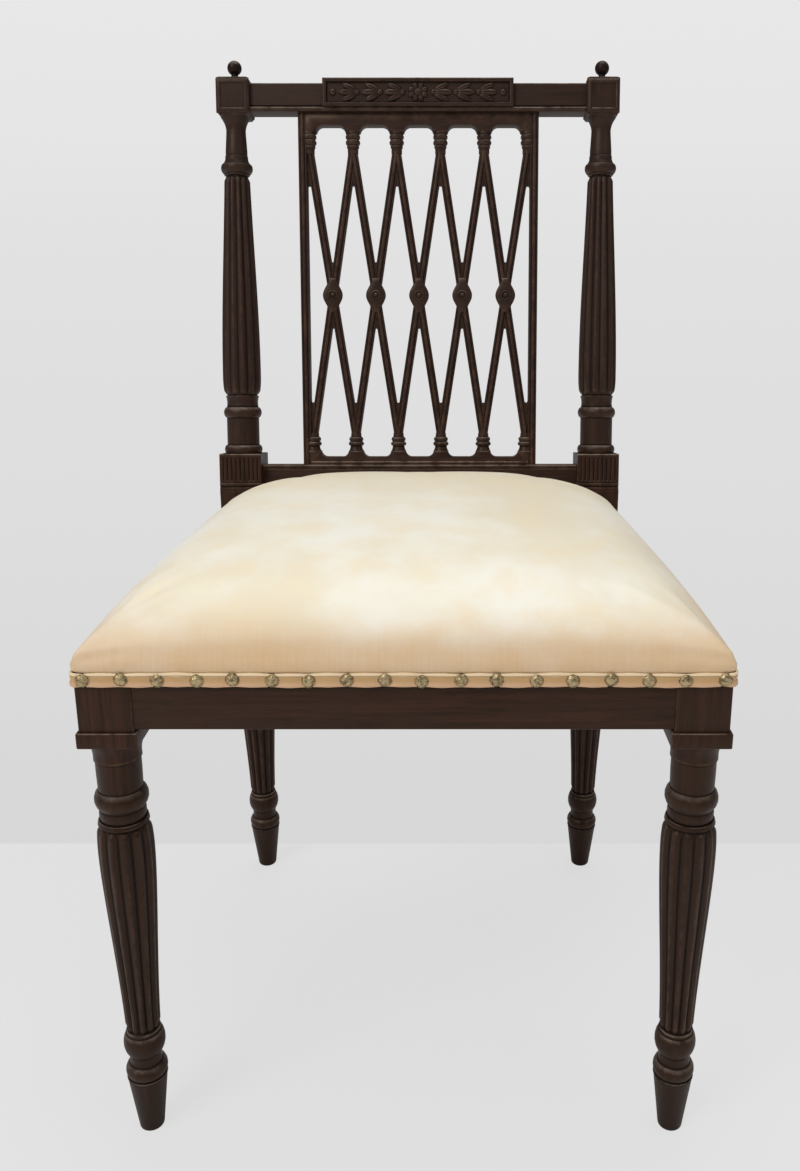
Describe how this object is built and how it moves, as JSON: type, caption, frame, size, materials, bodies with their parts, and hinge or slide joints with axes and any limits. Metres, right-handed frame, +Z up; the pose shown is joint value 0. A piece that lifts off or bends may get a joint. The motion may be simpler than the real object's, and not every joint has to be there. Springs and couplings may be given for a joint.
{
  "type": "neoclassical side chair",
  "caption": "Dark mahogany side chair with reeded turned legs, a lattice back under a carved crest and a cream stuffed-over seat edged with brass-headed nails.",
  "frame": {"origin": "on the floor, under the middle of the chair's box", "axes": "+Z up, +Y from the front of the seat to the back, +X to the right seen from the front"},
  "size_m": [0.501, 0.4968, 0.9183],
  "materials": {
    "mahogany": "satin",
    "bracing_wood": "matte",
    "webbing": "matte",
    "hessian": "matte",
    "filling": "matte",
    "seat_cloth": "satin",
    "band_cloth": "satin",
    "brass": "satin",
    "steel": "satin"
  },
  "bodies": {
    "root": {"back_band": "band_cloth", "back_post_left": "mahogany", "back_post_right": "mahogany", "back_seat_rail": "mahogany", "corner_block_back_left": "bracing_wood", "corner_block_back_right": "bracing_wood", "corner_block_front_left": "bracing_wood", "corner_block_front_right": "bracing_wood", "corner_block_screws": "steel", "finial_left": "mahogany", "finial_right": "mahogany", "front_leg_left": "mahogany", "front_leg_right": "mahogany", "front_seat_rail": "mahogany", "hessian": "hessian", "lattice_bars_rising_left": "mahogany", "lattice_bars_rising_right": "mahogany", "lattice_rosettes": "mahogany", "lower_capitals": "mahogany", "seat_band": "band_cloth", "seat_cover": "seat_cloth", "seat_stuffing": "filling", "side_seat_rail_left": "mahogany", "side_seat_rail_right": "mahogany", "splat_bottom_rail": "mahogany", "splat_stile_left": "mahogany", "splat_stile_right": "mahogany", "splat_top_rail": "mahogany", "stay_rail": "mahogany", "top_rail": "mahogany", "top_tablet": "mahogany", "upholstery_nails": "brass", "upper_capitals": "mahogany", "webbing_crosswise": "webbing", "webbing_lengthwise": "webbing", "webbing_tacks": "steel"}
  },
  "joints": []
}
